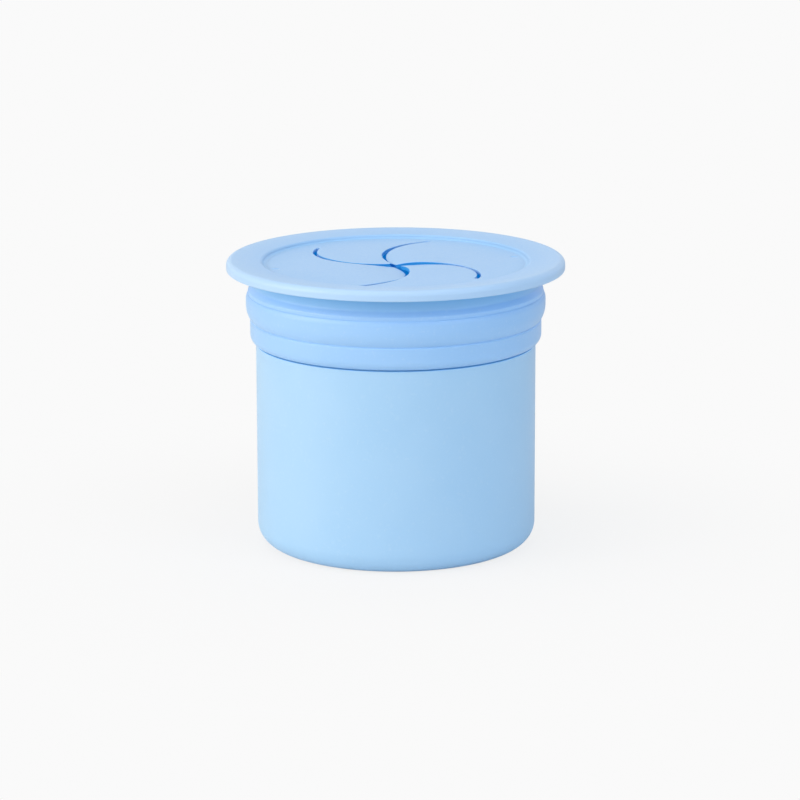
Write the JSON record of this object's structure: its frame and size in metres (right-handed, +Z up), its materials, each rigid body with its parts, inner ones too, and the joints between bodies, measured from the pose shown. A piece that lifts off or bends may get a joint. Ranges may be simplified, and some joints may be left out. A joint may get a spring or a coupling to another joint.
{
  "type": "snack cup",
  "caption": "Soft round snack cup for toddlers with a slip-on flanged lid, whose slit top skin opens as curved flaps for a small hand to reach in.",
  "frame": {"origin": "middle of the flat underside that the cup stands on", "axes": "+Z up along the cup's axis; -Y is the side seen in the picture, +X to its right"},
  "size_m": [0.0952, 0.0952, 0.0818],
  "materials": {
    "cup_silicone": "matte light blue silicone",
    "lid_silicone": "matte light blue silicone"
  },
  "bodies": {
    "cup": {"cup": "cup_silicone"},
    "lid": {"lid": "lid_silicone"},
    "flap_back": {"flap_back": "lid_silicone"},
    "flap_right": {"flap_right": "lid_silicone"},
    "flap_front": {"flap_front": "lid_silicone"},
    "flap_left": {"flap_left": "lid_silicone"}
  },
  "joints": [
    {"name": "lid_lift", "type": "slide", "parent": "cup", "child": "lid", "axis": [0, 0, 1], "range_m": [0, 0.04]},
    {"name": "flap_back_bend", "type": "hinge", "parent": "lid", "child": "flap_back", "pos_m": [-0.0091, 0.02555, 0.07975], "axis": [0.942, 0.3356, 0], "range_deg": [-61.7, 73.3], "stiffness_Nm_per_rad": 0.0015, "springref_deg": -2.31},
    {"name": "flap_right_bend", "type": "hinge", "parent": "lid", "child": "flap_right", "pos_m": [0.01713, 0.00514, 0.07975], "axis": [0.2877, -0.9577, 0], "range_deg": [-62.4, 72.6], "stiffness_Nm_per_rad": 0.0015, "springref_deg": -2.53},
    {"name": "flap_front_bend", "type": "hinge", "parent": "lid", "child": "flap_front", "pos_m": [0.0091, -0.02555, 0.07975], "axis": [-0.942, -0.3356, 0], "range_deg": [-62.5, 72.5], "stiffness_Nm_per_rad": 0.0015, "springref_deg": -2.31},
    {"name": "flap_left_bend", "type": "hinge", "parent": "lid", "child": "flap_left", "pos_m": [-0.01713, -0.00514, 0.07975], "axis": [-0.2877, 0.9577, 0], "range_deg": [-65, 70], "stiffness_Nm_per_rad": 0.0015, "springref_deg": -2.53}
  ]
}
